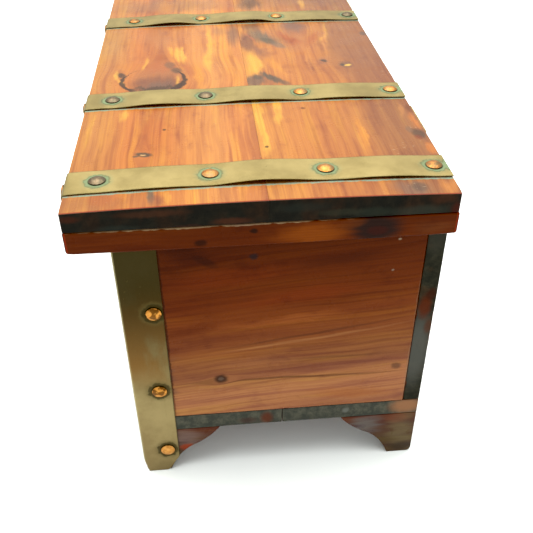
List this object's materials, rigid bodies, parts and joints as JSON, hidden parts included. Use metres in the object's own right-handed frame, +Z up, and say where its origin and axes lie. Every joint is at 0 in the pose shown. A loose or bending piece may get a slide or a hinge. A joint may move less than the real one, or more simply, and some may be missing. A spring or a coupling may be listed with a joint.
{
  "type": "small cedar chest",
  "caption": "Small red-cedar chest on bracket feet, with an overhanging hinged lid, brass strapping and domed nails.",
  "frame": {"origin": "the middle of the object's footprint, on the surface that it stands on", "axes": "+X along the chest's length to its right-hand end, +Y from the front to the hinged back, +Z up"},
  "size_m": [0.44, 0.2204, 0.228],
  "materials": {
    "lid_cedar": "varnished cedar, golden sapwood and red heartwood, semi-gloss",
    "cleat_cedar": "dark varnished cedar",
    "wall_cedar": "varnished red-brown cedar",
    "base_cedar": "dark varnished cedar, rough end grain",
    "strap_brass": "dull aged brass with verdigris",
    "nail_copper": "coppery domed nails, partly tarnished",
    "hinge_brass": "aged brass",
    "pin_brass": "aged brass"
  },
  "bodies": {
    "chest": {"front_panel": "wall_cedar", "left_end_panel": "wall_cedar", "right_end_panel": "wall_cedar", "back_panel": "wall_cedar", "front_bottom_board": "base_cedar", "back_bottom_board": "base_cedar", "left_front_foot_end_bracket": "base_cedar", "left_front_foot_side_bracket": "base_cedar", "left_back_foot_end_bracket": "base_cedar", "left_back_foot_side_bracket": "base_cedar", "right_front_foot_end_bracket": "base_cedar", "right_front_foot_side_bracket": "base_cedar", "right_back_foot_end_bracket": "base_cedar", "right_back_foot_side_bracket": "base_cedar", "left_corner_strap": "strap_brass", "right_corner_strap": "strap_brass", "corner_nail_left_end_1": "nail_copper", "corner_nail_left_end_2": "nail_copper", "corner_nail_left_end_3": "nail_copper", "corner_nail_left_front_1": "nail_copper", "corner_nail_left_front_2": "nail_copper", "corner_nail_left_front_3": "nail_copper", "corner_nail_right_end_1": "nail_copper", "corner_nail_right_end_2": "nail_copper", "corner_nail_right_end_3": "nail_copper", "corner_nail_right_front_1": "nail_copper", "corner_nail_right_front_2": "nail_copper", "corner_nail_right_front_3": "nail_copper", "left_hinge_lower_leaf": "hinge_brass", "right_hinge_lower_leaf": "hinge_brass", "left_hinge_pin": "pin_brass", "right_hinge_pin": "pin_brass"},
    "lid": {"lid_front_board": "lid_cedar", "lid_back_board": "lid_cedar", "left_lid_cleat": "cleat_cedar", "right_lid_cleat": "cleat_cedar", "lid_strap_1": "strap_brass", "lid_strap_2": "strap_brass", "lid_strap_3": "strap_brass", "lid_strap_4": "strap_brass", "lid_nail_1_1": "nail_copper", "lid_nail_1_2": "nail_copper", "lid_nail_1_3": "nail_copper", "lid_nail_1_4": "nail_copper", "lid_nail_2_1": "nail_copper", "lid_nail_2_2": "nail_copper", "lid_nail_2_3": "nail_copper", "lid_nail_2_4": "nail_copper", "lid_nail_3_1": "nail_copper", "lid_nail_3_2": "nail_copper", "lid_nail_3_3": "nail_copper", "lid_nail_3_4": "nail_copper", "lid_nail_4_1": "nail_copper", "lid_nail_4_2": "nail_copper", "lid_nail_4_3": "nail_copper", "lid_nail_4_4": "nail_copper", "lid_lip_nail_1": "nail_copper", "lid_lip_nail_4": "nail_copper", "left_hinge_upper_leaf": "hinge_brass", "right_hinge_upper_leaf": "hinge_brass"}
  },
  "joints": [
    {"name": "lid_hinge", "type": "hinge", "parent": "chest", "child": "lid", "pos_m": [0, 0.1081, 0.21165], "axis": [-1, 0, 0], "range_deg": [0, 180]}
  ]
}
